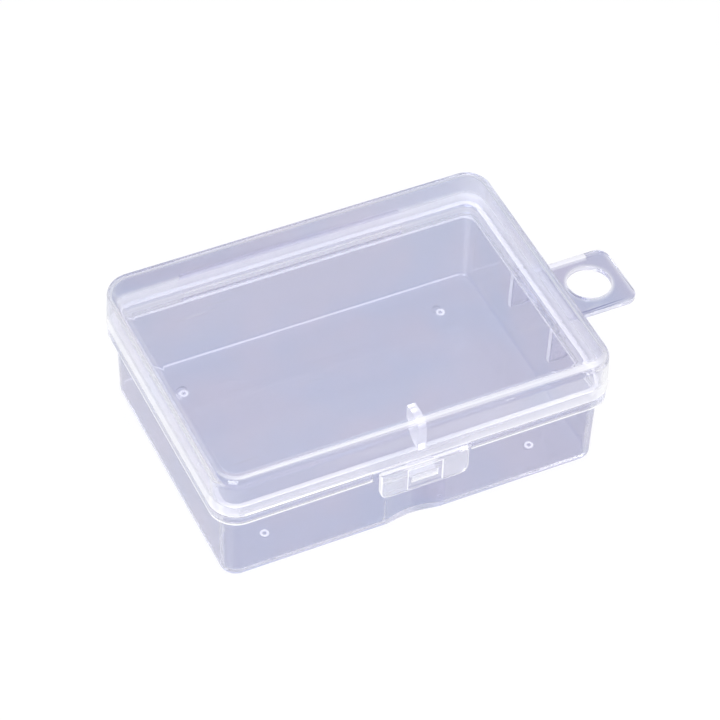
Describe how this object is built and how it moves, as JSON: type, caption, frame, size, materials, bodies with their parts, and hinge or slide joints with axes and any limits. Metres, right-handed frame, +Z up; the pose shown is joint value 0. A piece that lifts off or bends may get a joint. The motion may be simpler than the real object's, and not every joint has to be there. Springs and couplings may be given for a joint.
{
  "type": "hinged storage box",
  "caption": "Shallow see-through box for beads, sewing notions or small parts, with a film-hinged lid, a snap latch flap at the front and a hang tab with a round hole at one end.",
  "frame": {"origin": "middle of the tray's flat underside, on the surface that the box stands on", "axes": "+X along the long side towards the hang tab, +Y towards the hinge, -Y towards the latch, +Z up through the lid"},
  "size_m": [0.111, 0.0705, 0.032],
  "materials": {
    "clear_polypropylene": "moulded polypropylene, see-through with a faint lavender tint, semi-gloss",
    "milky_polypropylene": "the same polypropylene where it is thin or worked, milky and half see-through, semi-gloss"
  },
  "bodies": {
    "base": {"base_tray": "clear_polypropylene", "hang_tab": "clear_polypropylene", "front_gusset": "clear_polypropylene", "rear_gusset": "clear_polypropylene", "latch_catch": "milky_polypropylene", "tray_hinge_leaf": "clear_polypropylene", "hinge_film": "milky_polypropylene"},
    "lid": {"lid_shell": "clear_polypropylene", "lid_locating_rib": "milky_polypropylene", "lid_hinge_leaf": "clear_polypropylene", "latch_film": "milky_polypropylene"},
    "latch": {"latch_flap": "milky_polypropylene"}
  },
  "joints": [
    {"name": "lid_hinge", "type": "hinge", "parent": "base", "child": "lid", "pos_m": [0, 0.03533, 0.02138], "axis": [-1, 0, 0], "range_deg": [0, 180], "deforming": ["hinge_film"]},
    {"name": "latch_hinge", "type": "hinge", "parent": "lid", "child": "latch", "pos_m": [0, -0.0336, 0.02133], "axis": [-1, 0, 0], "range_deg": [0, 90], "deforming": ["latch_film"]}
  ]
}
